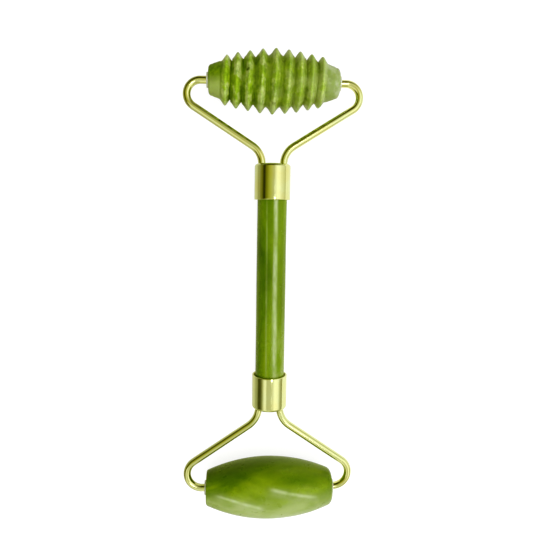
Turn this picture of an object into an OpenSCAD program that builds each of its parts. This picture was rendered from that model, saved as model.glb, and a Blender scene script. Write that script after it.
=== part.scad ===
// Double-ended stone face roller. A round stone handle carries a metal ferrule at each end. A bent
// wire yoke comes out of each ferrule, and a barrel roller turns freely between its two tips. One
// roller is cut with pointed rings and the other is smooth. The sizes are in millimetres. The
// handle lies along Y with the ringed roller at +Y, the rollers turn about lines along X, and the
// object lies on both rollers, which touch Z = 0.

/* [Handle] */
// Diameter of the stone handle
handle_d = 9.5; // [9:0.1:10]
// Length of handle that shows between the two ferrules
handle_len = 57; // [50:1:65]
// Width of the bevel around each hidden end of the handle
handle_bevel = 0.4; // [0.2:0.1:0.8]

/* [Ferrules] */
// Outer diameter of both ferrules
ferrule_d = 11.4; // [11.3:0.1:12]
// Length of each ferrule
ferrule_len = 11.2; // [10.8:0.1:13]
// Thickness of the ferrule's round wall
ferrule_wall = 0.5; // [0.4:0.05:0.6]
// Thickness of the ferrule's closed end
ferrule_cap = 0.8; // [0.6:0.1:0.8]
// Radius of the rounded shoulder at the closed end
ferrule_shoulder = 0.95; // [0.85:0.05:0.95]
// How far the glue stays back from the ferrule's open rim
glue_setback = 0.7; // [0.3:0.1:1.5]

/* [Wire yokes] */
// Diameter of the yoke wire
wire_d = 2.4; // [2.2:0.1:2.4]
// Half the distance between the two outermost stretches of wire, centre to centre
yoke_half_w = 27; // [27:0.5:30]
// Half the distance between the two wires where they leave a ferrule, centre to centre
wire_half_gap = 3.45; // [3.2:0.05:3.45]
// Radius of the ringed yoke's bend next to its ferrule, along the wire's centre
ringed_inner_r = 6.6; // [5:0.2:8]
// Radius of the smooth yoke's bend next to its ferrule, along the wire's centre
smooth_inner_r = 7.8; // [6:0.2:10]
// Distance from the ringed head's ferrule to its roller's axis
ringed_reach = 25.2; // [24:0.1:28]
// Distance from the smooth head's ferrule to its roller's axis
smooth_reach = 27.9; // [26:0.1:30]
// Radius of the outer bend of the ringed head's yoke, along the wire's centre
ringed_bend_r = 4.3; // [3.5:0.1:5]
// Radius of the outer bend of the smooth head's yoke, along the wire's centre
smooth_bend_r = 5; // [3.5:0.1:5.2]
// How deep each wire tip reaches into its roller
axle_depth = 6.6; // [5:0.1:7]
// Clearance around the wire in its bushes and in the ferrule's holes, on the radius
wire_gap = 0.05; // [0.02:0.01:0.1]

/* [Rollers] */
// Largest diameter of both rollers
roller_d = 19.7; // [19:0.1:21]
// Length of the ringed roller
ringed_len = 40.6; // [39:0.2:42]
// Length of the smooth roller
smooth_len = 42; // [39:0.2:42]
// Radius of the long arc that gives the smooth roller its barrel shape
barrel_r = 53; // [48:1:100]
// Radius of the rounded edge around the smooth roller's ends
smooth_edge_r = 0.9; // [0.3:0.1:1.5]
// Number of rings on the ringed roller
ring_count = 9; // [7:2:9]
// Distance from one ring to the next
ring_pitch = 3.73; // [3.5:0.01:3.8]
// How much smaller the outermost rings are than the middle one, on the radius
ring_drop = 2.25; // [2:0.05:2.5]
// Depth of the grooves between the rings
groove_depth = 2.05; // [1.6:0.05:2.2]
// Width of the narrow land on top of each ring
ring_land = 0.24; // [0.1:0.02:0.5]
// Radius of the ringed roller's flat ends
ringed_end_r = 4.7; // [4.2:0.1:5.2]
// Radius of the ringed roller's cones where they meet the outermost rings
ringed_cone_r = 5.6; // [5.4:0.1:5.8]
// Radius of the rounded edge around the ringed roller's ends
ringed_edge_r = 1; // [0.4:0.1:1.4]
// How far the smooth roller has slid along its wire tips, towards +X
smooth_slide = 0.4; // [-0.4:0.1:0.4]

/* [Bushes] */
// Diameter of the bush barrel and of the hole it is pressed into
bush_d = 3.5; // [3.2:0.1:4]
// Length of the bush barrel inside the roller
bush_len = 7.4; // [7.2:0.1:8]
// Diameter of the flange outside the roller
flange_d = 4.7; // [4.4:0.1:6]
// Thickness of the flange
flange_t = 0.6; // [0.4:0.1:0.7]
// Depth of the hole in the stone
bush_hole_depth = 8.2; // [8:0.1:11]

/* [Hidden] */

fine = 96;
wire_fine = 32;
jade = "#84a32c";
pale_gold = "#cfc48a";
nylon = "#dedfd8";
resin = "#c9b98a";

axis_z = roller_d / 2;
axis_y = (handle_len + 2 * ferrule_len + ringed_reach + smooth_reach) / 2;
ringed_face_y = axis_y - ringed_reach;
smooth_face_y = smooth_reach - axis_y;
ferrule_in_r = ferrule_d / 2 - ferrule_wall;
// The hidden bend joins the two wires just inside the closed end, and the handle stops short of it
bend_inset = 0.3;
rod_gap = 0.2;
wire_leg = ferrule_cap + bend_inset;
rod_seat = ferrule_len - wire_leg - wire_half_gap - wire_d / 2 - rod_gap;
rod_len = handle_len + 2 * rod_seat;
rod_mid_y = (ringed_face_y + smooth_face_y) / 2;
// Distance from the middle ring to the outermost one, and how steeply the rings get smaller
ring_span = (ring_count - 1) / 2 * ring_pitch;
ring_taper = 1.5;
// How far a drilled hole runs past the face it starts from
cut_past = 1;
// How much wider than the wire its joints are, on the radius
joint_swell = 0.02;
// Gap between two stretches of wire inside a joint, which keeps their end faces from meeting
joint_gap = 0.05;
// Turns the seam of each joint's sphere away from the wire's own seams, where the solids would
// otherwise not join
joint_turn = 37;

// Both heads are drawn with the ferrule's closed end at the origin and the roller towards +Y
module at_ringed_head() { translate([0, ringed_face_y, axis_z]) children(); }
module at_smooth_head() { translate([0, smooth_face_y, axis_z]) rotate([0, 0, 180]) children(); }
module along_x() { rotate([0, 90, 0]) children(); }
module along_y() { rotate([-90, 0, 0]) children(); }
module both_sides() { for (side = [0, 1]) mirror([side, 0, 0]) children(); }

// ---- Yoke: one wire, bent in one plane ----
module wire_bend(radius, from, sweep) {
    rotate_extrude(angle = sweep, start = from, $fn = fine)
        translate([radius, 0]) circle(d = wire_d, $fn = wire_fine);
}

// A hair-thin swelling that joins two stretches of the wire into one solid, where the wire runs
// in the direction of heading
module wire_joint(x, y, heading) {
    translate([x, y, 0]) rotate([0, 0, heading]) along_x() rotate([0, 0, joint_turn])
        sphere(r = wire_d / 2 + joint_swell, $fn = wire_fine);
}

// The stretch inside the ferrule, which the glue grips
module hidden_bend() {
    translate([0, -wire_leg, 0]) wire_bend(wire_half_gap, 180, 180);
    both_sides() translate([wire_half_gap, -wire_leg, 0]) along_y()
        cylinder(d = wire_d, h = wire_leg - joint_gap, $fn = wire_fine);
}

module yoke(reach, inner_r, outer_r, tip_x) {
    bend_x = wire_half_gap + inner_r;
    outer_x = yoke_half_w - outer_r;
    outer_y = reach - outer_r;
    // The straight arm touches both bends on opposite sides, which fixes its slope
    centres = norm([outer_x - bend_x, outer_y]);
    slope = atan2(outer_y, outer_x - bend_x) - asin((inner_r + outer_r) / centres);
    arm_len = sqrt(centres ^ 2 - (inner_r + outer_r) ^ 2);
    hidden_bend();
    both_sides() {
        translate([bend_x, 0, 0]) {
            wire_bend(inner_r, 90 + slope, 90 - slope);
            rotate([0, 0, slope]) translate([joint_gap, inner_r, 0]) along_x()
                cylinder(d = wire_d, h = arm_len - 2 * joint_gap, $fn = wire_fine);
        }
        translate([outer_x, outer_y, 0]) wire_bend(outer_r, slope - 90, 180 - slope);
        translate([tip_x, reach, 0]) along_x()
            cylinder(d = wire_d, h = outer_x - tip_x - joint_gap, $fn = wire_fine);
        wire_joint(wire_half_gap, 0, 90);
        wire_joint(bend_x - inner_r * sin(slope), inner_r * cos(slope), slope);
        wire_joint(outer_x + outer_r * sin(slope), outer_y - outer_r * cos(slope), slope);
        wire_joint(outer_x, reach, 0);
    }
}

module ringed_yoke() {
    color(pale_gold) at_ringed_head()
        yoke(ringed_reach, ringed_inner_r, ringed_bend_r, ringed_len / 2 - axle_depth);
}

module smooth_yoke() {
    color(pale_gold) at_smooth_head()
        yoke(smooth_reach, smooth_inner_r, smooth_bend_r, smooth_len / 2 - axle_depth);
}

// ---- Ferrule: a cup, closed towards the roller, with two holes for the wire ----
module ferrule() {
    radius = ferrule_d / 2;
    difference() {
        along_y() rotate_extrude($fn = fine) {
            translate([ferrule_in_r, -ferrule_len])
                square([ferrule_wall, ferrule_len - ferrule_shoulder]);
            translate([0, -ferrule_cap]) square([radius - ferrule_shoulder, ferrule_cap]);
            intersection() {
                translate([radius - ferrule_shoulder, -ferrule_shoulder])
                    circle(r = ferrule_shoulder, $fn = fine);
                translate([0, -ferrule_cap]) square([radius, ferrule_cap]);
            }
            translate([ferrule_in_r, -ferrule_shoulder])
                square([ferrule_wall, ferrule_shoulder - ferrule_cap]);
        }
        both_sides() translate([wire_half_gap, -ferrule_cap - cut_past, 0]) along_y()
            cylinder(r = wire_d / 2 + wire_gap, h = ferrule_cap + 2 * cut_past, $fn = wire_fine);
    }
}

module ringed_ferrule() { color(pale_gold) at_ringed_head() ferrule(); }
module smooth_ferrule() { color(pale_gold) at_smooth_head() ferrule(); }

// ---- Handle ----
module handle_rod() {
    radius = handle_d / 2;
    color(jade) translate([0, rod_mid_y, axis_z]) along_y() rotate_extrude($fn = fine)
        polygon([[0, -rod_len / 2], [radius - handle_bevel, -rod_len / 2],
                 [radius, -rod_len / 2 + handle_bevel], [radius, rod_len / 2 - handle_bevel],
                 [radius - handle_bevel, rod_len / 2], [0, rod_len / 2]]);
}

// ---- Glue: fills each ferrule around the wire and the end of the handle ----
module glue_fill() {
    fill_len = ferrule_len - ferrule_cap - glue_setback;
    translate([0, -ferrule_cap - fill_len, 0]) along_y()
        cylinder(r = ferrule_in_r, h = fill_len, $fn = fine);
}

module ringed_glue() {
    color(resin) difference() {
        at_ringed_head() glue_fill();
        at_ringed_head() hidden_bend();
        handle_rod();
    }
}

module smooth_glue() {
    color(resin) difference() {
        at_smooth_head() glue_fill();
        at_smooth_head() hidden_bend();
        handle_rod();
    }
}

// ---- Rollers: turned shapes with a blind hole for a bush in each end ----
module bush_holes(length) {
    both_sides() translate([length / 2 - bush_hole_depth, 0, 0]) along_x()
        cylinder(d = bush_d, h = bush_hole_depth + cut_past, $fn = wire_fine);
}

// Radius of a ring's crest at a distance from the middle of the roller
function crest_r(x) = roller_d / 2 - ring_drop * pow(abs(x) / ring_span, ring_taper);

module ringed_profile() {
    flank = ring_pitch / 2 - ring_land / 2;
    // A groove lies half a pitch beyond each ring but the last, which runs out into the end cone
    rings = [for (i = [0:ring_count - 1]) let (x = i * ring_pitch - ring_span) each concat(
        [[crest_r(x), x - ring_land / 2], [crest_r(x), x + ring_land / 2]],
        i < ring_count - 1
            ? [[(crest_r(x) + crest_r(x + ring_pitch)) / 2 - groove_depth, x + ring_pitch / 2]]
            : [])];
    cone_x = ring_span + ring_land / 2 + flank * (crest_r(ring_span) - ringed_cone_r) / groove_depth;
    end_x = ringed_len / 2;
    edge = ringed_edge_r;
    polygon(concat(
        [[0, -end_x], [ringed_end_r - edge, -end_x], [ringed_end_r, edge - end_x]],
        [[ringed_cone_r, -cone_x]], rings, [[ringed_cone_r, cone_x]],
        [[ringed_end_r, end_x - edge], [ringed_end_r - edge, end_x], [0, end_x]]));
    for (side = [-1, 1]) translate([ringed_end_r - edge, side * (end_x - edge)])
        circle(r = edge, $fn = wire_fine);
}

module smooth_profile() {
    edge = smooth_edge_r;
    centre_r = roller_d / 2 - barrel_r;
    edge_x = smooth_len / 2 - edge;
    edge_at_r = centre_r + sqrt((barrel_r - edge) ^ 2 - edge_x ^ 2);
    // The rounded edge meets the long arc here
    meet_x = edge_x * barrel_r / (barrel_r - edge);
    intersection() {
        translate([centre_r, 0]) circle(r = barrel_r, $fn = 4 * fine);
        translate([0, -meet_x]) square([roller_d, 2 * meet_x]);
    }
    translate([0, -smooth_len / 2]) square([edge_at_r, smooth_len]);
    for (side = [-1, 1]) translate([edge_at_r, side * edge_x]) circle(r = edge, $fn = wire_fine);
}

module ringed_roller() {
    color(jade) translate([0, axis_y, axis_z]) difference() {
        along_x() rotate_extrude($fn = fine) ringed_profile();
        bush_holes(ringed_len);
    }
}

module smooth_roller() {
    color(jade) translate([smooth_slide, -axis_y, axis_z]) difference() {
        along_x() rotate_extrude($fn = fine) smooth_profile();
        bush_holes(smooth_len);
    }
}

// ---- Bushes: a flanged tube pressed into each end of a roller ----
module bush(side, y, length, slide) {
    in_r = wire_d / 2 + wire_gap;
    color(nylon) translate([slide + side * length / 2, y, axis_z]) rotate([0, side * 90, 0])
        rotate_extrude($fn = fine) {
            translate([in_r, -bush_len]) square([bush_d / 2 - in_r, bush_len]);
            translate([in_r, 0]) square([flange_d / 2 - in_r, flange_t]);
        }
}

module ringed_bush_left() { bush(-1, axis_y, ringed_len, 0); }
module ringed_bush_right() { bush(1, axis_y, ringed_len, 0); }
module smooth_bush_left() { bush(-1, -axis_y, smooth_len, smooth_slide); }
module smooth_bush_right() { bush(1, -axis_y, smooth_len, smooth_slide); }

handle_rod();
ringed_ferrule();
smooth_ferrule();
ringed_glue();
smooth_glue();
ringed_yoke();
smooth_yoke();
ringed_roller();
smooth_roller();
ringed_bush_left();
ringed_bush_right();
smooth_bush_left();
smooth_bush_right();
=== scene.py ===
"""A double-ended jade face roller, dressed around its CAD frame and lit as in a plain studio."""

import math

import bmesh
import bpy
from mathutils import Matrix, Vector, noise


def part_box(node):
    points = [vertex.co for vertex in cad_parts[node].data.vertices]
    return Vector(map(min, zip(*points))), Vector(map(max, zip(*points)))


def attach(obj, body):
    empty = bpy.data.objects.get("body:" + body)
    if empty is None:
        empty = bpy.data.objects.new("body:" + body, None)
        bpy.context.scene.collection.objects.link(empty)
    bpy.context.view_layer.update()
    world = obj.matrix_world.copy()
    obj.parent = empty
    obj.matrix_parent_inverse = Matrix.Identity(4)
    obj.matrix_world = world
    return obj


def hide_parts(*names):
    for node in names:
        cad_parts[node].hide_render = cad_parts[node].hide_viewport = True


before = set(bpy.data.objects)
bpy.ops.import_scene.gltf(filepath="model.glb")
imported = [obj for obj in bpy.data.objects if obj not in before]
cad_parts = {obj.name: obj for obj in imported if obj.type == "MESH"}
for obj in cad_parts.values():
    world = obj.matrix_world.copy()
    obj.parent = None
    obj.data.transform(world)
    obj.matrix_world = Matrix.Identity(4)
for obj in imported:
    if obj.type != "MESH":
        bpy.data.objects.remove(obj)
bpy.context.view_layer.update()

MM = 0.001

# ---- Places taken from the frame ----


def middle(node):
    lo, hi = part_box(node)
    return (Vector(lo) + Vector(hi)) / 2


def span(node, axis):
    lo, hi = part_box(node)
    return hi[axis] - lo[axis]


RINGED_AXIS = middle("ringed_roller")
SMOOTH_AXIS = middle("smooth_roller")
HANDLE_MID = middle("handle_rod")
ROLLER_R = span("ringed_roller", 2) / 2
RINGED_LEN = span("ringed_roller", 0)
SMOOTH_LEN = span("smooth_roller", 0)
HANDLE_R = span("handle_rod", 0) / 2
HANDLE_LEN = span("handle_rod", 1)
FERRULE_R = span("ringed_ferrule", 0) / 2
FERRULE_LEN = span("ringed_ferrule", 1)
RINGED_FACE_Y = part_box("ringed_ferrule")[1][1]
SMOOTH_FACE_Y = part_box("smooth_ferrule")[0][1]
# The yoke's box includes the hair-thin swellings at the wire's joints
JOINT_SWELL = 0.02 * MM
WIRE_R = span("ringed_yoke", 2) / 2 - JOINT_SWELL
YOKE_HALF_W = span("ringed_yoke", 0) / 2 - WIRE_R
FLANGE_R = span("ringed_bush_left", 1) / 2

# ---- Shape sizes that the frame's boxes don't give, the same as in the CAD ----
FERRULE_WALL = 0.5 * MM
FERRULE_CAP = 0.8 * MM
FERRULE_SHOULDER = 0.95 * MM
WIRE_HALF_GAP = 3.45 * MM
WIRE_LEG = 1.1 * MM
RINGED_INNER_R = 6.6 * MM
SMOOTH_INNER_R = 7.8 * MM
RINGED_BEND_R = 4.3 * MM
SMOOTH_BEND_R = 5 * MM
AXLE_DEPTH = 6.6 * MM
BUSH_R = 1.75 * MM
BUSH_LEN = 7.4 * MM
BUSH_HOLE = 8.2 * MM
FLANGE_T = 0.6 * MM
BORE_R = WIRE_R + 0.05 * MM
SMOOTH_BARREL_R = 53 * MM
HANDLE_BEVEL = 0.4 * MM
RINGED_END_R = 4.7 * MM
RING_COUNT = 9
RING_PITCH = 3.73 * MM
RING_REACH = (RING_COUNT - 1) / 2 * RING_PITCH
RING_DROP = 2.25 * MM
RING_TAPER = 1.5

# ---- Shape sizes of the looks alone ----
RING_HEIGHT = 1.95 * MM
# How blunt a ring's tip is, as a share of its half width, and how hollow its flanks are
TIP_ROUND = 0.32
FLANK_CURVE = 1.35
# Width of a ring as a share of the pitch
RING_FILL = 0.93
# How far each ring stands off its even place, and how much shorter it is, in mm
RING_SHIFT = [0.0, -0.35, -0.35, -0.2, 0.0, 0.2, 0.05, -0.1, -0.45]
RING_SHORT = [0.1, 0.03, 0.08, 0.0, 0.0, 0.05, 0.02, 0.06, 0.0]
# Depth of the rings' chips and wear, and how far the rings waver and lean along X
CHIP_DEPTH = 0.30 * MM
RING_WEAR = 0.06 * MM
RING_WAVER = 0.05 * MM
RING_LEAN = 0.30 * MM
# The ringed roller's cones: distances in from the end and radii, then the place beside the rings
CONE_POINTS = [(1.7 * MM, 4.98 * MM), (2.6 * MM, 5.24 * MM)]
CONE_PAST_RING = 2.0 * MM
CONE_R = 5.55 * MM
RINGED_EDGE = 1.2 * MM
# Rounded edge at each end of the smooth roller, by side
SMOOTH_EDGES = {-1: 0.9 * MM, 1: 2.3 * MM}
# Depth of the faint hollows that hand shaping left in the two smooth stones
SMOOTH_HOLLOW = 0.10 * MM
HANDLE_HOLLOW = 0.09 * MM
# Rounded edges of a ferrule's rim and of a bush
RIM = 0.16 * MM
BUSH_EDGE = 0.12 * MM
# Length of a wire's softened tip, and the radius of its end face as a share of the wire's
WIRE_TIP = 0.3 * MM
TIP_SHARE = 0.75
# Points of a roller closer to its axis than this lie in or around a bush's hole and stay true
HOLE_R = 3 * MM


# ---- Mesh builders ----
def arc(cx, cy, radius, start, end, steps):
    """Points of an arc, from start to end in degrees."""
    angles = [math.radians(start + (end - start) * i / steps) for i in range(steps + 1)]
    return [(cx + radius * math.cos(a), cy + radius * math.sin(a)) for a in angles]


def finish_mesh(name, bm, sharp_deg=40):
    bmesh.ops.recalc_face_normals(bm, faces=bm.faces)
    mesh = bpy.data.meshes.new(name)
    bm.to_mesh(mesh)
    bm.free()
    mesh.shade_smooth()
    mesh.set_sharp_from_angle(angle=math.radians(sharp_deg))
    obj = bpy.data.objects.new(name, mesh)
    bpy.context.scene.collection.objects.link(obj)
    return obj


def lathe(name, outline, centre, along, around=128, closed=False, warp=None, sharp_deg=40):
    """Turns an outline of (distance along the axis, radius) points about a line through centre.
    A point of radius 0 becomes one vertex. A closed outline makes a ring without poles."""
    bm = bmesh.new()
    level = bm.verts.layers.float.new("crest")
    loops = []
    for k, (t, radius) in enumerate(outline):
        loop = []
        for i in range(around if radius > 0 else 1):
            angle = 2 * math.pi * i / around
            dt, dr, crest = warp(t, radius, angle, k) if warp and radius > 0 else (0, 0, 0)
            a, b = (radius + dr) * math.cos(angle), (radius + dr) * math.sin(angle)
            point = Vector((t + dt, b, a)) if along == "x" else Vector((b, t + dt, a))
            vert = bm.verts.new(centre + point)
            vert[level] = crest
            loop.append(vert)
        loops.append(loop)
    pairs = list(zip(loops, loops[1:])) + ([(loops[-1], loops[0])] if closed else [])
    for low, high in pairs:
        for i in range(around):
            j = (i + 1) % around
            if len(low) == 1:
                bm.faces.new((low[0], high[i], high[j]))
            elif len(high) == 1:
                bm.faces.new((low[i], low[j], high[0]))
            else:
                bm.faces.new((low[i], low[j], high[j], high[i]))
    return finish_mesh(name, bm, sharp_deg)


def tube(name, path, radius, around=32):
    """A round wire along a path in one level plane, with softened tips."""
    bm = bmesh.new()
    loops = []
    points = [Vector(p) for p in path]
    for k, p in enumerate(points):
        before, after = points[max(k - 1, 0)], points[min(k + 1, len(points) - 1)]
        ahead = (after - before).normalized()
        side = Vector((ahead.y, -ahead.x, 0))
        loop = []
        for i in range(around):
            a = 2 * math.pi * i / around
            up = Vector((0, 0, radius * math.sin(a)))
            loop.append(bm.verts.new(p + side * (radius * math.cos(a)) + up))
        loops.append(loop)
    for low, high in zip(loops, loops[1:]):
        for i in range(around):
            j = (i + 1) % around
            bm.faces.new((low[i], low[j], high[j], high[i]))
    for loop, end, back in ((loops[0], points[0], points[1]), (loops[-1], points[-1], points[-2])):
        out = (end - back).normalized()
        inner = [bm.verts.new(end + (v.co - end) * TIP_SHARE + out * WIRE_TIP) for v in loop]
        for i in range(around):
            j = (i + 1) % around
            bm.faces.new((loop[i], loop[j], inner[j], inner[i]))
        bm.faces.new(inner)
    return finish_mesh(name, bm)


# ---- Node helpers ----
def new_material(name):
    material = bpy.data.materials.new(name)
    material.use_nodes = True
    tree = material.node_tree
    return material, tree, tree.nodes["Principled BSDF"]


def put(tree, kind, settings=(), **inputs):
    """Adds a node. An input given a socket is linked, and any other value is set."""
    node = tree.nodes.new("ShaderNode" + kind)
    for key, value in dict(settings).items():
        setattr(node, key, value)
    for key, value in inputs.items():
        plug(tree, node, key.replace("_", " "), value)
    return node


def plug(tree, node, key, value):
    socket = node.inputs[int(key)] if key.isdigit() else node.inputs[key]
    if isinstance(value, bpy.types.NodeSocket):
        tree.links.new(value, socket)
    else:
        socket.default_value = value


def place(tree, stretch=(1, 1, 1), turn=(0, 0, 0), shift=(0, 0, 0)):
    """Object coordinates in metres, shifted, turned and stretched."""
    coords = put(tree, "TexCoord").outputs["Object"]
    turned = [math.radians(a) for a in turn]
    return put(tree, "Mapping", Vector=coords, Location=shift, Rotation=turned,
               Scale=stretch).outputs["Vector"]


def fuzz(tree, where, scale, detail=4.0, rough=0.5, twist=0.0):
    return put(tree, "TexNoise", Vector=where, Scale=scale, Detail=detail, Roughness=rough,
               Distortion=twist).outputs["Fac"]


def between(tree, value, low, high, to_low=0.0, to_high=1.0):
    """Rescales a value from one range to another, with a smooth start and end."""
    return put(tree, "MapRange", {"interpolation_type": "SMOOTHSTEP"}, Value=value,
               From_Min=low, From_Max=high, To_Min=to_low, To_Max=to_high).outputs["Result"]


def maths(tree, operation, a, b=0.0):
    node = put(tree, "Math", {"operation": operation})
    plug(tree, node, "0", a)
    plug(tree, node, "1", b)
    return node.outputs[0]


def times(tree, a, b):
    return maths(tree, "MULTIPLY", a, b)


def plus(tree, a, b):
    return maths(tree, "ADD", a, b)


def minus(tree, a, b):
    return maths(tree, "SUBTRACT", a, b)


def sway(tree, where, scale, detail, rough, size):
    """Noise about zero, with a full swing of the given size."""
    return times(tree, minus(tree, fuzz(tree, where, scale, detail, rough), 0.5), size)


def blend_colour(tree, amount, a, b, mode="MIX"):
    node = put(tree, "Mix", {"data_type": "RGBA", "blend_type": mode})
    plug(tree, node, "0", amount)
    plug(tree, node, "6", a)
    plug(tree, node, "7", b)
    return node.outputs[2]


def washed(tree, amount, colour, tone):
    """A colour with some amount of a plain tone over it."""
    return blend_colour(tree, amount, colour, (*tone, 1))


def ramp(tree, value, stops):
    node = put(tree, "ValToRGB", Fac=value)
    marks = node.color_ramp.elements
    while len(marks) < len(stops):
        marks.new(0.5)
    for mark, (at, colour) in zip(marks, stops):
        mark.position = at
        mark.color = (*colour, 1)
    return node.outputs["Color"]


def bumps(tree, shader, layers):
    """Chains bump layers of (height, depth in metres, strength) into the shader's normal."""
    normal = None
    for height, depth, strength in layers:
        node = put(tree, "Bump", Height=height, Distance=depth, Strength=strength)
        if normal is not None:
            tree.links.new(normal, node.inputs["Normal"])
        normal = node.outputs["Normal"]
    tree.links.new(normal, shader.inputs["Normal"])


# ---- Jade ----
# Tones shared by the three stones, from dark to pale, the palest for painted highlights, then the
# dark specks
DEEP = (0.024, 0.068, 0.0008)
LEAF = (0.060, 0.126, 0.0015)
MOSS = (0.106, 0.180, 0.0035)
LIME = (0.170, 0.258, 0.014)
MILK = (0.240, 0.300, 0.125)
SMOKE = (0.280, 0.330, 0.205)
HIGHLIGHT_PALE = (0.400, 0.470, 0.290)
SPECK = (0.010, 0.022, 0.001)
# Tones of one stone alone: the smooth roller's painted light, and the ringed roller's painted shade
# in the grooves and painted light on the crests and ring tips
SMOOTH_PAINTED_LIGHT = (0.250, 0.308, 0.150)
GROOVE_SHADE_GREEN = (0.050, 0.108, 0.004)
LIT_CREST_GREEN = (0.160, 0.262, 0.020)
LIT_CREST_MILK = (0.305, 0.378, 0.150)
TIP_PAINTED_LIGHT = (0.270, 0.320, 0.165)
# Painted highlights along the handle, where a bright tube mirrors in it: place across it, inner and
# outer half width (all m) and strength
HANDLE_HIGHLIGHTS = [(0.00105, 0.0001, 0.0010, 0.74), (-0.0017, 0.0001, 0.0005, 0.20)]
HANDLE_LINE_SLOPE = 0.007
# Painted highlights on the smooth roller, where a light mirrors in it: place along X, place round
# it, length (all m) and strength
SMOOTH_HIGHLIGHTS = [(-0.0098, -0.0006, 0.017, 0.85), (0.0077, 0.0022, 0.018, 0.60)]
SMOOTH_LINE_TURN = -13.7
LINE_WIDTH = 0.0009
# The soft painted glow beside each highlight: how far off it lies, its width, and its length as a
# share of the line's
HALO_SHIFT = 0.0006
HALO_WIDTH = 0.0026
HALO_LENGTH = 1.15


def jade(name, stretch, turn, shift, light, milky, speckled=0.6):
    """Polished cloudy stone: its material, tree, shader, colour and plain coordinates. light lifts
    the whole tone, milky is how much pale vein shows, and speckled how much the dark specks do."""
    material, tree, shader = new_material(name)
    where = place(tree, stretch, turn, shift)
    plain = place(tree)
    # Clouds from dark to light, then pale veins
    cloud = fuzz(tree, where, 110, 5, 0.55, 0.8)
    tone = plus(tree, cloud, light)
    colour = ramp(tree, tone, [(0.30, DEEP), (0.46, LEAF), (0.58, MOSS), (0.74, LIME)])
    vein = between(tree, fuzz(tree, where, 62, 6, 0.62, 1.6), 0.56, 0.70, 0, milky)
    colour = washed(tree, vein, colour, MILK)
    # Fine mottling, then scattered dark specks
    mottle = fuzz(tree, plain, 900, 3, 0.6)
    mottle = ramp(tree, mottle, [(0.3, (0.70,) * 3), (0.7, (1.25,) * 3)])
    colour = blend_colour(tree, 0.35, colour, mottle, "MULTIPLY")
    grain = put(tree, "TexVoronoi", Vector=plain, Scale=330.0).outputs["Distance"]
    thin = between(tree, fuzz(tree, plain, 140, 2), 0.55, 0.62)
    specks = times(tree, between(tree, grain, 0.05, 0.16, speckled, 0), thin)
    colour = washed(tree, specks, colour, SPECK)
    return material, tree, shader, colour, plain


def polish(tree, shader, colour, plain, smoothest, roughest, gloss=0.26):
    """The sheen, depth and fine wear that all three stone pieces share."""
    tree.links.new(colour, shader.inputs["Base Color"])
    rough = between(tree, fuzz(tree, plain, 260, 4, 0.6), 0.3, 0.7, smoothest, roughest)
    tree.links.new(rough, shader.inputs["Roughness"])
    shader.inputs["IOR"].default_value = 1.61
    shader.inputs["Specular IOR Level"].default_value = gloss
    shader.inputs["Subsurface Weight"].default_value = 0.45
    shader.inputs["Subsurface Radius"].default_value = (0.6, 1.0, 0.25)
    shader.inputs["Subsurface Scale"].default_value = 0.0016
    swell = fuzz(tree, plain, 170, 2)
    scratch = fuzz(tree, place(tree, (1, 9, 1), (12, 30, 40)), 1400, 2)
    bumps(tree, shader, [(swell, 0.00020, 0.5), (scratch, 0.00002, 0.2)])


def around(tree, axis):
    """Places along X and round a roller's axis, both in metres, the second counted towards +Y."""
    parts = put(tree, "SeparateXYZ", Vector=place(tree, shift=(0, -axis.y, -axis.z))).outputs
    angle = maths(tree, "ARCTAN2", parts["Y"], parts["Z"])
    return parts["X"], times(tree, angle, ROLLER_R)


def streak(tree, u, v, middle_u, middle_v, turn, length, width):
    """A soft pale line on a surface with coordinates u and v, turned from u towards v."""
    c, n = math.cos(math.radians(turn)), math.sin(math.radians(turn))
    du, dv = minus(tree, u, middle_u), minus(tree, v, middle_v)
    along = plus(tree, times(tree, du, c), times(tree, dv, n))
    across = minus(tree, times(tree, dv, c), times(tree, du, n))
    near = between(tree, maths(tree, "ABSOLUTE", across), 0, width, 1, 0)
    kept = between(tree, maths(tree, "ABSOLUTE", along), length * 0.3, length * 0.5, 1, 0)
    return times(tree, near, kept)


def jade_handle():
    material, tree, shader, colour, plain = jade(
        "jade_handle", stretch=(1, 0.22, 1), turn=(0, 0, 3), shift=(0.013, 0, 0.004),
        light=-0.02, milky=0.25)
    parts = put(tree, "SeparateXYZ", Vector=plain).outputs
    across = parts["X"]
    # Painted light towards +X, the side the light falls from, with milky clouds on that side near
    # the smooth head
    wander = sway(tree, place(tree, (1, 0.3, 1)), 120, 2, 0.5, 0.006)
    painted_side_light = between(tree, plus(tree, across, wander), -0.0022, 0.0012, 0, 0.30)
    colour = washed(tree, painted_side_light, colour, LIME)
    patchy = between(tree, fuzz(tree, place(tree, (1, 0.4, 1)), 210, 4, 0.6), 0.40, 0.62)
    near_end = times(tree, between(tree, parts["Y"], -0.006, -0.022),
                     between(tree, across, -0.0005, 0.0020, 0, 0.50))
    colour = washed(tree, times(tree, near_end, patchy), colour, MILK)
    # Painted highlights: the long pale lines where a bright tube mirrors in the stone, with weaker
    # stretches
    aslant = plus(tree, across, times(tree, parts["Y"], HANDLE_LINE_SLOPE))
    breaks = fuzz(tree, place(tree, (1, 0.25, 1)), 260, 4, 0.6)
    broken = between(tree, breaks, 0.35, 0.65, 0.25, 1.0)
    for at, inner, outer, strength in HANDLE_HIGHLIGHTS:
        off = maths(tree, "ABSOLUTE", minus(tree, aslant, at))
        highlight_line = between(tree, off, inner, outer, strength, 0)
        colour = washed(tree, times(tree, highlight_line, broken), colour, HIGHLIGHT_PALE)
    polish(tree, shader, colour, plain, smoothest=0.15, roughest=0.28)
    return material


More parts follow.
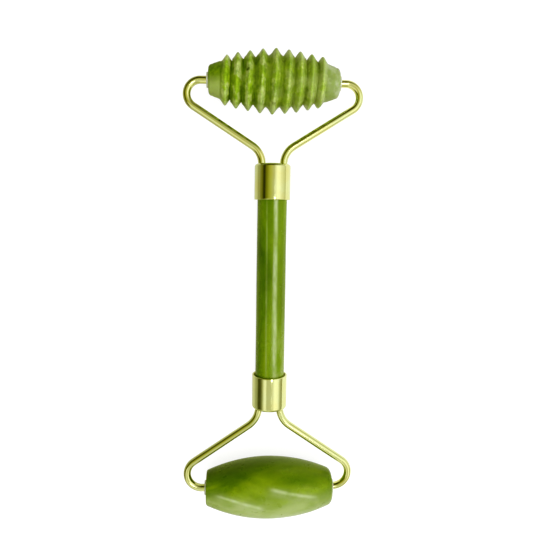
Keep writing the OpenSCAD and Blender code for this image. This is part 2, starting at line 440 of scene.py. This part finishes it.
def jade_smooth():
    material, tree, shader, colour, plain = jade(
        "jade_smooth", stretch=(0.45, 1, 1), turn=(0, 0, -SMOOTH_LINE_TURN),
        shift=(0.004, 0.021, 0.011), light=0.01, milky=0.35, speckled=0.2)
    u, v = around(tree, SMOOTH_AXIS)
    centred = place(tree, shift=(0, -SMOOTH_AXIS.y, 0))
    across = put(tree, "SeparateXYZ", Vector=centred).outputs["Y"]
    # Painted shade towards +Y, darkest at the -X end, and painted light towards -Y, the side the
    # light falls from
    cloud = sway(tree, plain, 90, 3, 0.5, 0.012)
    light_slope = minus(tree, plus(tree, across, cloud), times(tree, u, 0.06))
    dark = blend_colour(tree, between(tree, u, -0.012, 0.010), (*DEEP, 1), (*LEAF, 1))
    colour = blend_colour(tree, between(tree, light_slope, 0.003, 0.009, 0, 0.65), colour, dark)
    patches = fuzz(tree, place(tree, (0.6, 1, 1)), 170, 4, 0.55)
    patchy = between(tree, patches, 0.38, 0.60, 0.60, 1.0)
    milky = times(tree, between(tree, light_slope, 0.0040, -0.0035, 0, 0.92), patchy)
    colour = washed(tree, milky, colour, SMOOTH_PAINTED_LIGHT)
    # Painted highlights: the two pale slanting lines where a light mirrors in the stone, each with
    # a soft painted glow beside it, broken up by noise
    wear_and_highlight_gaps = between(tree, fuzz(tree, plain, 190, 3, 0.5), 0.36, 0.60, 0.45, 1.0)
    for middle_u, middle_v, length, strength in SMOOTH_HIGHLIGHTS:
        shown = times(tree, wear_and_highlight_gaps, strength)
        line = streak(tree, u, v, middle_u, middle_v, SMOOTH_LINE_TURN, length, LINE_WIDTH)
        highlight_halo = streak(tree, u, v, middle_u, middle_v - HALO_SHIFT, SMOOTH_LINE_TURN,
                      length * HALO_LENGTH, HALO_WIDTH)
        halo_shown = times(tree, highlight_halo, times(tree, shown, 0.6))
        colour = washed(tree, halo_shown, colour, SMOKE)
        colour = washed(tree, times(tree, line, shown), colour, HIGHLIGHT_PALE)
    polish(tree, shader, colour, plain, smoothest=0.26, roughest=0.36)
    return material


# Dark inclusions in the ringed roller: place along X, place round it, radius (all mm) and strength
DARK_SPOTS = [(-8.3, 1.7, 0.75, 0.85), (-12.2, 6.4, 1.1, 0.40), (2.4, 6.2, 0.9, 0.45),
              (9.9, 6.8, 1.1, 0.40), (-0.4, -9.0, 0.9, 0.40), (-3.2, 3.0, 0.8, 0.40),
              (5.6, 16.0, 0.9, 0.7), (-10.0, -19.0, 0.8, 0.7), (11.0, 27.0, 1.1, 0.5),
              (-4.0, 24.0, 0.7, 0.8)]


def jade_ringed():
    material, tree, shader, colour, plain = jade(
        "jade_ringed", stretch=(0.8, 1, 1), turn=(0, 0, 15), shift=(0.031, 0, 0.017),
        light=0.04, milky=0.50)
    # Painted shade in the grooves and painted light on the ridges, then dark and light blotches
    level = put(tree, "Attribute", {"attribute_name": "crest"}).outputs["Fac"]
    uneven = sway(tree, plain, 330, 4, 0.6, 0.8)
    edge = plus(tree, level, uneven)
    groove = between(tree, edge, 0.10, 0.45, 0.50, 0)
    colour = washed(tree, groove, colour, GROOVE_SHADE_GREEN)
    ridge_light = between(tree, edge, 0.20, 0.58, 0, 0.9)
    pale = between(tree, fuzz(tree, plain, 240, 4, 0.6), 0.44, 0.58)
    crest = blend_colour(tree, pale, (*LIT_CREST_GREEN, 1), (*LIT_CREST_MILK, 1))
    colour = blend_colour(tree, ridge_light, colour, crest)
    for scale, share in ((330, 0.75), (900, 0.55)):
        blotch = ramp(tree, fuzz(tree, plain, scale, 3, 0.6),
                      [(0.36, (0.50, 0.62, 0.55)), (0.50, (1.0,) * 3), (0.66, (1.36, 1.28, 1.5))])
        colour = blend_colour(tree, share, colour, blotch, "MULTIPLY")
    # Milky clouds, more of them towards +X; painted light shining through the ring tips at both
    # sides, most of all towards -Y
    cloudy = between(tree, fuzz(tree, plain, 210, 4, 0.6), 0.42, 0.62, 0.35, 1)
    centred = place(tree, shift=(0, -RINGED_AXIS.y, 0))
    parts = put(tree, "SeparateXYZ", Vector=centred).outputs
    out = maths(tree, "ABSOLUTE", parts["Y"])
    side = between(tree, out, ROLLER_R * 0.62, ROLLER_R * 0.95, 0, 0.8)
    side = times(tree, side, between(tree, parts["Y"], -0.002, 0.002, 1, 0.6))
    tip = times(tree, side, between(tree, level, 0.2, 0.9))
    paler = times(tree, between(tree, parts["X"], -0.012, 0.014, 0.05, 0.75), cloudy)
    colour = washed(tree, paler, colour, MILK)
    colour = washed(tree, times(tree, tip, cloudy), colour, TIP_PAINTED_LIGHT)
    # Pale cones: the whole of the one at +X, and painted light on the -Y side of the other
    end = between(tree, parts["X"], 0.0150, 0.0170, 0, 1.0)
    colour = washed(tree, times(tree, end, cloudy), colour, SMOKE)
    other_end = between(tree, parts["X"], -0.0155, -0.0170, 0, 0.8)
    lit_side = between(tree, parts["Y"], 0.0015, -0.0030)
    colour = washed(tree, times(tree, other_end, lit_side), colour, MILK)
    # Dark inclusions with ragged edges
    u, v = around(tree, RINGED_AXIS)
    ragged = sway(tree, plain, 1500, 3, 0.5, 0.0008)
    for spot_u, spot_v, radius, strength in DARK_SPOTS:
        du, dv = minus(tree, u, spot_u * MM), minus(tree, v, spot_v * MM)
        square = plus(tree, times(tree, du, du), times(tree, dv, dv))
        apart = plus(tree, maths(tree, "POWER", square, 0.5), ragged)
        spot = between(tree, apart, radius * 0.4 * MM, radius * MM, strength, 0)
        colour = washed(tree, spot, colour, SPECK)
    polish(tree, shader, colour, plain, smoothest=0.32, roughest=0.50, gloss=0.12)
    return material


# ---- Gold plate ----
GOLD = (0.75, 0.79, 0.40)
GOLD_WARM = (0.76, 0.74, 0.33)
# Light and dark tones of the two other materials
BUSH_TONES = ((0.50, 0.52, 0.46), (0.40, 0.42, 0.35))
GLUE_TONES = ((0.10, 0.085, 0.035), (0.06, 0.05, 0.02))


def gold(name):
    material, tree, shader = new_material(name)
    plain = place(tree)
    tint = between(tree, fuzz(tree, plain, 160, 3), 0.35, 0.7)
    colour = blend_colour(tree, tint, (*GOLD, 1), (*GOLD_WARM, 1))
    tree.links.new(colour, shader.inputs["Base Color"])
    rough = between(tree, fuzz(tree, plain, 420, 4, 0.65), 0.3, 0.75, 0.06, 0.15)
    tree.links.new(rough, shader.inputs["Roughness"])
    shader.inputs["Metallic"].default_value = 1.0
    rub = fuzz(tree, place(tree, (1, 14, 1)), 1500, 2)
    dent = fuzz(tree, plain, 240, 2)
    bumps(tree, shader, [(dent, 0.00010, 0.25), (rub, 0.00001, 0.25)])
    return material


def plastic(name, tones, rough):
    material, tree, shader = new_material(name)
    plain = place(tree)
    patch = between(tree, fuzz(tree, plain, 700, 3), 0.35, 0.65)
    light, dark = ((*tone, 1) for tone in tones)
    tree.links.new(blend_colour(tree, patch, light, dark), shader.inputs["Base Color"])
    wear_and_highlight_gaps = between(tree, fuzz(tree, plain, 900, 2), 0.3, 0.7, rough, rough + 0.15)
    tree.links.new(wear_and_highlight_gaps, shader.inputs["Roughness"])
    shader.inputs["Subsurface Weight"].default_value = 0.15
    shader.inputs["Subsurface Scale"].default_value = 0.0008
    bumps(tree, shader, [(fuzz(tree, plain, 2600, 2), 0.00002, 0.3)])
    return material


JADE_HANDLE = jade_handle()
JADE_SMOOTH = jade_smooth()
JADE_RINGED = jade_ringed()
GOLD_PLATE = gold("gold_plate")
BUSH_PLASTIC = plastic("bush_plastic", BUSH_TONES, rough=0.35)
GLUE = plastic("glue", GLUE_TONES, rough=0.25)


def dress(obj, material, body, nodes):
    """Gives a piece its material, hides the frame's parts it stands for and sets what it moves
    with.
    """
    obj.data.materials.clear()
    obj.data.materials.append(material)
    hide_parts(*nodes)
    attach(obj, body)


# ---- Rollers ----
def crest_radius(x):
    return ROLLER_R - RING_DROP * (abs(x) / RING_REACH) ** RING_TAPER


def hole_bottom(end, side):
    inside = end - side * BUSH_HOLE
    return [(inside, 0), (inside, BUSH_R * 0.6), (inside, BUSH_R)]


def ringed_end(side):
    """From the blind hole's bottom out over the rounded end of the ringed roller."""
    end = side * RINGED_LEN / 2
    edge_at = RINGED_END_R - RINGED_EDGE
    points = hole_bottom(end, side)
    points += [(end - side * BUSH_HOLE / 2, BUSH_R), (end, BUSH_R), (end, (BUSH_R + edge_at) / 2)]
    turn = [(180, 90), (0, 90)][side > 0]
    return points + arc(end - side * RINGED_EDGE, edge_at, RINGED_EDGE, *turn, 7)


def ring_outline(i):
    """One pointed ring, up one flank, over the rounded tip and down the other: places along the
    axis, radii, and levels from 0 in the groove to 1 on the tip."""
    x = (i - (RING_COUNT - 1) / 2) * RING_PITCH + RING_SHIFT[i] * MM
    top = crest_radius(x) - RING_SHORT[i] * MM
    half = RING_PITCH / 2
    points = []
    for step in range(-10, 11):
        t = step / 10
        away = (math.hypot(t, TIP_ROUND) - TIP_ROUND) / (math.hypot(1, TIP_ROUND) - TIP_ROUND)
        fall = 1 - (1 - away) ** FLANK_CURVE
        points.append((x + t * half * RING_FILL, top - RING_HEIGHT * fall, 1 - fall))
    return points


def ringed_roller():
    crests = {}
    cone = [(RINGED_LEN / 2 - inset, radius) for inset, radius in CONE_POINTS]
    cone += [(RING_REACH + CONE_PAST_RING, CONE_R)]
    outline = ringed_end(-1) + [(-x, radius) for x, radius in cone]
    for i in range(RING_COUNT):
        for x, radius, level in ring_outline(i):
            crests[len(outline)] = level
            outline.append((x, max(radius, CONE_R)))
    outline += cone[::-1] + ringed_end(1)[::-1]

    def warp(t, radius, angle, k):
        if radius < HOLE_R:
            return 0, 0, 0
        level = crests.get(k, 0.0)
        spot = Vector((t * 260, math.cos(angle) * radius * 300, math.sin(angle) * radius * 300))
        chip = max(0.0, noise.noise(spot * 1.7) - 0.25) * CHIP_DEPTH * level
        wear = abs(noise.noise(spot * 0.5)) * RING_WEAR * (0.4 + level)
        waver = math.sin(angle + 1.3 * round(t / RING_PITCH)) * RING_WAVER * (0.3 + level)
        lean = math.sin(angle) * RING_LEAN
        return (waver + lean if k in crests else 0), -chip - wear, level

    obj = lathe("ringed_roller_stone", outline, RINGED_AXIS, "x", around=192, warp=warp,
                sharp_deg=55)
    dress(obj, JADE_RINGED, "ringed_head", ["ringed_roller"])


def smooth_roller():
    centre_r = ROLLER_R - SMOOTH_BARREL_R

    def meet(side):
        """Where the barrel's long arc runs into the rounded edge: the edge's radius, its centre,
        and the long arc's angle there."""
        edge = SMOOTH_EDGES[side]
        edge_x = SMOOTH_LEN / 2 - edge
        edge_at = centre_r + math.sqrt((SMOOTH_BARREL_R - edge) ** 2 - edge_x ** 2)
        angle = math.degrees(math.asin(edge_x / (SMOOTH_BARREL_R - edge)))
        return edge, edge_x, edge_at, angle

    def smooth_end(side):
        """From the blind hole's bottom out over the rounded end of the smooth roller."""
        edge, edge_x, edge_at, angle = meet(side)
        end = side * SMOOTH_LEN / 2
        points = hole_bottom(end, side) + [(end, BUSH_R), (end, (BUSH_R + edge_at) / 2)]
        corner = [(side * (edge_x + edge * math.cos(a)), edge_at + edge * math.sin(a))
                  for a in (math.radians(d * (90 - angle) / 8) for d in range(9))]
        return points + corner

    start, stop = -meet(-1)[3], meet(1)[3]
    steps = 90
    belly = []
    for i in range(1, steps):
        a = math.radians(start + (stop - start) * i / steps)
        belly.append((SMOOTH_BARREL_R * math.sin(a), centre_r + SMOOTH_BARREL_R * math.cos(a)))
    outline = smooth_end(-1) + belly + smooth_end(1)[::-1]

    def warp(t, radius, angle, k):
        if radius < HOLE_R:
            return 0, 0, 0
        spot = Vector((t * 70, math.cos(angle) * radius * 110, math.sin(angle) * radius * 110))
        return 0, -abs(noise.noise(spot)) * SMOOTH_HOLLOW, 0

    obj = lathe("smooth_roller_stone", outline, SMOOTH_AXIS, "x", around=192, warp=warp,
                sharp_deg=55)
    dress(obj, JADE_SMOOTH, "smooth_head", ["smooth_roller"])


# ---- Handle ----
def handle():
    half = HANDLE_LEN / 2
    straight = HANDLE_LEN - 2 * HANDLE_BEVEL
    steps = 120
    body = [(-half + HANDLE_BEVEL + straight * i / steps, HANDLE_R) for i in range(steps + 1)]
    end_r = HANDLE_R - HANDLE_BEVEL
    outline = [(-half, 0), (-half, end_r)] + body + [(half, end_r), (half, 0)]

    def warp(t, radius, angle, k):
        spot = Vector((math.cos(angle) * 1.6, t * 45, math.sin(angle) * 1.6))
        return 0, -abs(noise.noise(spot)) * HANDLE_HOLLOW, 0

    obj = lathe("handle_stone", outline, HANDLE_MID, "y", warp=warp, sharp_deg=30)
    dress(obj, JADE_HANDLE, "handle", ["handle_rod"])


# ---- Ferrules ----
def ferrule(name, node, face_y, out):
    """A cup with a soft rim. out is +1 where the closed end faces +Y and -1 where it faces -Y."""
    inner_r = FERRULE_R - FERRULE_WALL
    soft = FERRULE_SHOULDER
    straight = FERRULE_LEN - soft - RIM
    lip_t = RIM - FERRULE_LEN
    outline = [(0, 0), (0, FERRULE_R * 0.4), (0, FERRULE_R * 0.75)]
    outline += arc(-soft, FERRULE_R - soft, soft, 0, 90, 10)
    outline += [(-soft - straight * i / 12, FERRULE_R) for i in range(1, 12)]
    outline += arc(lip_t, FERRULE_R - RIM, RIM, 90, 180, 5)
    outline += arc(lip_t, inner_r + RIM, RIM, 180, 270, 5)
    outline += [(-FERRULE_CAP, inner_r), (-FERRULE_CAP, 0)]
    outline = [(t * out, r) for t, r in outline]
    centre = Vector((0, face_y, HANDLE_MID.z))
    obj = lathe(name, outline, centre, "y", sharp_deg=35)
    for side in (-1, 1):
        bpy.ops.mesh.primitive_cylinder_add(
            vertices=48, radius=BORE_R, depth=5 * FERRULE_CAP, rotation=(math.pi / 2, 0, 0),
            location=(side * WIRE_HALF_GAP, face_y - out * FERRULE_CAP / 2, HANDLE_MID.z))
        cutter = bpy.context.object
        cut = obj.modifiers.new("hole", "BOOLEAN")
        cut.object, cut.operation, cut.solver = cutter, "DIFFERENCE", "EXACT"
        bpy.context.view_layer.objects.active = obj
        bpy.ops.object.modifier_apply(modifier="hole")
        bpy.data.objects.remove(cutter)
    dress(obj, GOLD_PLATE, "handle", [node])


# ---- Yokes ----
def yoke(name, node, face_y, out, axis_y, inner_r, bend_r, roller_len):
    """One bent wire. One half of its path repeats the frame's, with the closed end at the origin:
    hidden bend, inner bend, arm, outer bend and tip. The other half mirrors it."""
    reach = abs(axis_y - face_y)
    bend_x = WIRE_HALF_GAP + inner_r
    outer_x, outer_y = YOKE_HALF_W - bend_r, reach - bend_r
    apart = math.hypot(outer_x - bend_x, outer_y)
    slope = math.atan2(outer_y, outer_x - bend_x) - math.asin((inner_r + bend_r) / apart)
    slope = math.degrees(slope)
    tip_x = roller_len / 2 - AXLE_DEPTH + WIRE_TIP
    arm = arc(0, -WIRE_LEG, WIRE_HALF_GAP, 270, 360, 14)
    arm += [(WIRE_HALF_GAP, -WIRE_LEG / 2)]
    arm += arc(bend_x, 0, inner_r, 180, 90 + slope, 18)
    bend = arc(outer_x, outer_y, bend_r, slope - 90, 90, 30)
    (from_x, from_y), (to_x, to_y) = arm[-1], bend[0]
    arm += [(from_x + (to_x - from_x) * i / 12, from_y + (to_y - from_y) * i / 12)
            for i in range(1, 12)]
    arm += bend
    arm += [(outer_x + (tip_x - outer_x) * i / 8, reach) for i in range(1, 9)]
    path = [(-x, y) for x, y in reversed(arm)] + arm[1:]
    z = HANDLE_MID.z
    obj = tube(name, [(x, face_y + out * y, z) for x, y in path], WIRE_R)
    dress(obj, GOLD_PLATE, "handle", [node])


# ---- Bushes ----
def bush(node, axis, side, length, body):
    """A flanged tube, drawn from the roller's end face: inwards is minus, outwards plus."""
    soft = BUSH_EDGE
    end = side * length / 2
    flange = arc(FLANGE_T - soft, FLANGE_R - soft, soft, 90, 0, 4)
    outline = [(-BUSH_LEN, BORE_R), (-BUSH_LEN, BUSH_R - soft), (-BUSH_LEN + soft, BUSH_R),
               (0, BUSH_R), (0, FLANGE_R)]
    outline += flange + [(FLANGE_T, BORE_R + soft), (FLANGE_T - soft, BORE_R)]
    outline = [(end + side * t, r) for t, r in outline]
    obj = lathe(node + "_piece", outline, axis, "x", around=64, closed=True, sharp_deg=35)
    dress(obj, BUSH_PLASTIC, body, [node])


ringed_roller()
smooth_roller()
handle()
ferrule("ringed_cup", "ringed_ferrule", RINGED_FACE_Y, 1)
ferrule("smooth_cup", "smooth_ferrule", SMOOTH_FACE_Y, -1)
yoke("ringed_wire", "ringed_yoke", RINGED_FACE_Y, 1, RINGED_AXIS.y, RINGED_INNER_R,
     RINGED_BEND_R, RINGED_LEN)
yoke("smooth_wire", "smooth_yoke", SMOOTH_FACE_Y, -1, SMOOTH_AXIS.y, SMOOTH_INNER_R,
     SMOOTH_BEND_R, SMOOTH_LEN)
for side, word in ((-1, "left"), (1, "right")):
    bush("ringed_bush_" + word, RINGED_AXIS, side, RINGED_LEN, "ringed_head")
    bush("smooth_bush_" + word, SMOOTH_AXIS, side, SMOOTH_LEN, "smooth_head")

for node in ("ringed_glue", "smooth_glue"):
    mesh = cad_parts[node].data
    mesh.materials.clear()
    mesh.materials.append(GLUE)


# ---- Floor, light and camera ----
FLOOR_TONES = ((0.18, 0.18, 0.18, 1), (0.21, 0.21, 0.205, 1))
FLOOR_GLOW = 0.86
# What the parts mirror of the floor: place along X and glow, at the dim end and at the bright end
DIM_X, DIM_GLOW = -0.050, 0.05
BRIGHT_X, BRIGHT_GLOW = 0.015, 0.75


def make_floor():
    """A pale table that glows a little, as a light table does, so the shadows stay faint. Polished
    parts mirror it dimmer towards -X, as if a dark card lay there."""
    bpy.ops.mesh.primitive_grid_add(x_subdivisions=8, y_subdivisions=8, size=6)
    floor = bpy.context.object
    floor.name = "floor"
    material, tree, shader = new_material("pale_floor")
    tone = between(tree, fuzz(tree, place(tree), 3, 2), 0.3, 0.7)
    tree.links.new(blend_colour(tree, tone, *FLOOR_TONES), shader.inputs["Base Color"])
    shader.inputs["Roughness"].default_value = 0.9
    shader.inputs["Specular IOR Level"].default_value = 0.1
    shader.inputs["Emission Color"].default_value = (1, 1, 1, 1)
    across = put(tree, "SeparateXYZ", Vector=place(tree)).outputs["X"]
    mirrored = put(tree, "MapRange", Value=across, From_Min=DIM_X, From_Max=BRIGHT_X,
                   To_Min=DIM_GLOW, To_Max=BRIGHT_GLOW).outputs["Result"]
    glossy = put(tree, "LightPath").outputs["Is Glossy Ray"]
    glow = put(tree, "Mix", {"data_type": "FLOAT"})
    for key, value in (("0", glossy), ("2", FLOOR_GLOW), ("3", mirrored)):
        plug(tree, glow, key, value)
    tree.links.new(glow.outputs[0], shader.inputs["Emission Strength"])
    floor.data.materials.append(material)


def soft_light(name, place_at, size, watts):
    """A square panel that points at the object and shows in no polished part."""
    data = bpy.data.lights.new(name, "AREA")
    data.shape = "RECTANGLE"
    data.size, data.size_y = size, size
    data.energy = watts
    lamp = bpy.data.objects.new(name, data)
    bpy.context.scene.collection.objects.link(lamp)
    lamp.location = place_at
    lamp.rotation_euler = (-Vector(place_at)).to_track_quat("-Z", "Y").to_euler()
    lamp.visible_glossy = False
    lamp.visible_camera = False


# Brightness of the room by the angle over the object, from -X (-90) over the top (0) to +X (90), in
# four directions from behind the object to in front of it. A third value is the share of blue.
BACK = [(-100, 0.14), (-60, 0.08), (-25, 0.03), (0, 0.04), (20, 0.12), (42, 0.19), (58, 0.45),
        (80, 0.55), (100, 0.25)]
ABOVE = [(-104, 0.42), (-84, 0.25, 0.7), (-70, 0.15, 0.3), (-64, 0.04, 0.3), (-52, 0.02),
         (-46, 0.15, 0.2), (-37, 0.23, 0.25), (-23, 0.45, 0.40), (-10, 0.56, 0.6), (8, 0.62),
         (16, 1.00), (28, 1.30), (44, 1.25), (56, 1.03), (71, 0.88), (88, 0.65)]
FRONT = [(-92, 0.37), (-82, 0.06), (-68, 0.06), (-59, 0.14), (-48, 0.50), (-38, 1.05),
         (-28, 1.15), (-20, 0.62), (8, 0.66), (18, 0.85), (32, 1.30), (52, 1.25), (62, 0.96),
         (70, 0.55), (82, 0.40), (90, 0.27)]
NEAR = [(-90, 0.6), (-60, 0.8), (-40, 0.9), (-5, 0.95), (20, 0.62), (57, 0.38), (90, 0.5)]
# Where one direction fades into the next, by the Y part of the direction
ABOVE_TO_FRONT = (-0.08, -0.26)
FRONT_TO_NEAR = (-0.50, -0.75)
ABOVE_TO_BACK = (0.20, 0.70)
# The bright tube: its angle, half widths of its core and its soft edge (all degrees), its
# brightness, and where each end fades in, by the Y part of the direction
STRIP_AT = 12
STRIP_CORE, STRIP_EDGE = 1.5, 4.5
STRIP_LEVEL = 3.5
STRIP_ENDS = ((-0.005, -0.035), (-0.295, -0.265))
# Colour stops hold at most 1, so the levels are divided by this and the world is as much brighter
WORLD_STRENGTH = 2.0
# What the camera sees beyond the floor
BACKDROP = (0.5, 0.5, 0.5, 1)


def make_world():
    """A pale studio room with a large soft panel on the right, a narrow bright tube beside it and a
    dark screen on the left, which draws the dark lines in the gold."""
    world = bpy.data.worlds.new("room")
    bpy.context.scene.world = world
    world.use_nodes = True
    tree = world.node_tree
    parts = put(tree, "SeparateXYZ", Vector=put(tree, "TexCoord").outputs["Generated"]).outputs
    y = parts["Y"]
    angle = maths(tree, "ARCTAN2", parts["X"], parts["Z"])
    turn = plus(tree, maths(tree, "DIVIDE", angle, 2 * math.pi), 0.5)

    def bands(stops):
        marks = []
        for degrees, level, *blue in stops:
            half = level / WORLD_STRENGTH
            marks.append(((degrees + 180) / 360, (half, half, half * (blue[0] if blue else 1))))
        return ramp(tree, turn, marks)

    room = blend_colour(tree, between(tree, y, *ABOVE_TO_FRONT), bands(ABOVE), bands(FRONT))
    room = blend_colour(tree, between(tree, y, *FRONT_TO_NEAR), room, bands(NEAR))
    room = blend_colour(tree, between(tree, y, *ABOVE_TO_BACK), room, bands(BACK))
    off = maths(tree, "ABSOLUTE", minus(tree, angle, math.radians(STRIP_AT)))
    tube_light = between(tree, off, math.radians(STRIP_CORE), math.radians(STRIP_EDGE),
                         STRIP_LEVEL, 0)
    for far, full in STRIP_ENDS:
        tube_light = times(tree, tube_light, between(tree, y, far, full))
    glow = put(tree, "CombineColor", Red=tube_light, Green=tube_light, Blue=tube_light).outputs[0]
    room = blend_colour(tree, 1.0, room, glow, "ADD")
    seen = put(tree, "LightPath").outputs["Is Camera Ray"]
    background = tree.nodes["Background"]
    tree.links.new(blend_colour(tree, seen, room, BACKDROP), background.inputs["Color"])
    background.inputs["Strength"].default_value = WORLD_STRENGTH


CAMERA_AT = (-11.6 * MM, 26.5 * MM, 178.1 * MM)
# Turns about Y, X and Z away from looking straight down with +Y up, in degrees
CAMERA_TURNS = (-3.48, -6.15, 0.85)
SENSOR_WIDTH = 36.0
FOCAL_LENGTH = 35.5
LENS_SHIFT = (-0.0008, 0.0009)
# Points of the curve that holds the blue back: level in and level out
BLUE_CURVE = ((0.05, 0.012), (0.20, 0.12), (0.45, 0.40))


def make_camera():
    data = bpy.data.cameras.new("camera")
    camera = bpy.data.objects.new("camera", data)
    bpy.context.scene.collection.objects.link(camera)
    bpy.context.scene.camera = camera
    data.sensor_width = SENSOR_WIDTH
    data.lens = FOCAL_LENGTH
    camera.location = CAMERA_AT
    about_y, about_x, about_z = (Matrix.Rotation(math.radians(degrees), 4, axis)
                                 for degrees, axis in zip(CAMERA_TURNS, "YXZ"))
    camera.rotation_euler = (about_y @ about_x @ about_z).to_euler()
    data.clip_start = 0.01
    data.shift_x, data.shift_y = LENS_SHIFT


def set_grade():
    """Plain colour, with the blue of the darker tones held back as in a vivid studio print."""
    view = bpy.context.scene.view_settings
    view.view_transform = "Standard"
    view.use_curve_mapping = True
    blue = view.curve_mapping.curves[2]
    for level_in, level_out in BLUE_CURVE:
        blue.points.new(level_in, level_out)
    view.curve_mapping.update()


make_floor()
make_world()
make_camera()
soft_light("top_fill", (0.25, -0.1, 1.3), size=1.8, watts=30)
set_grade()
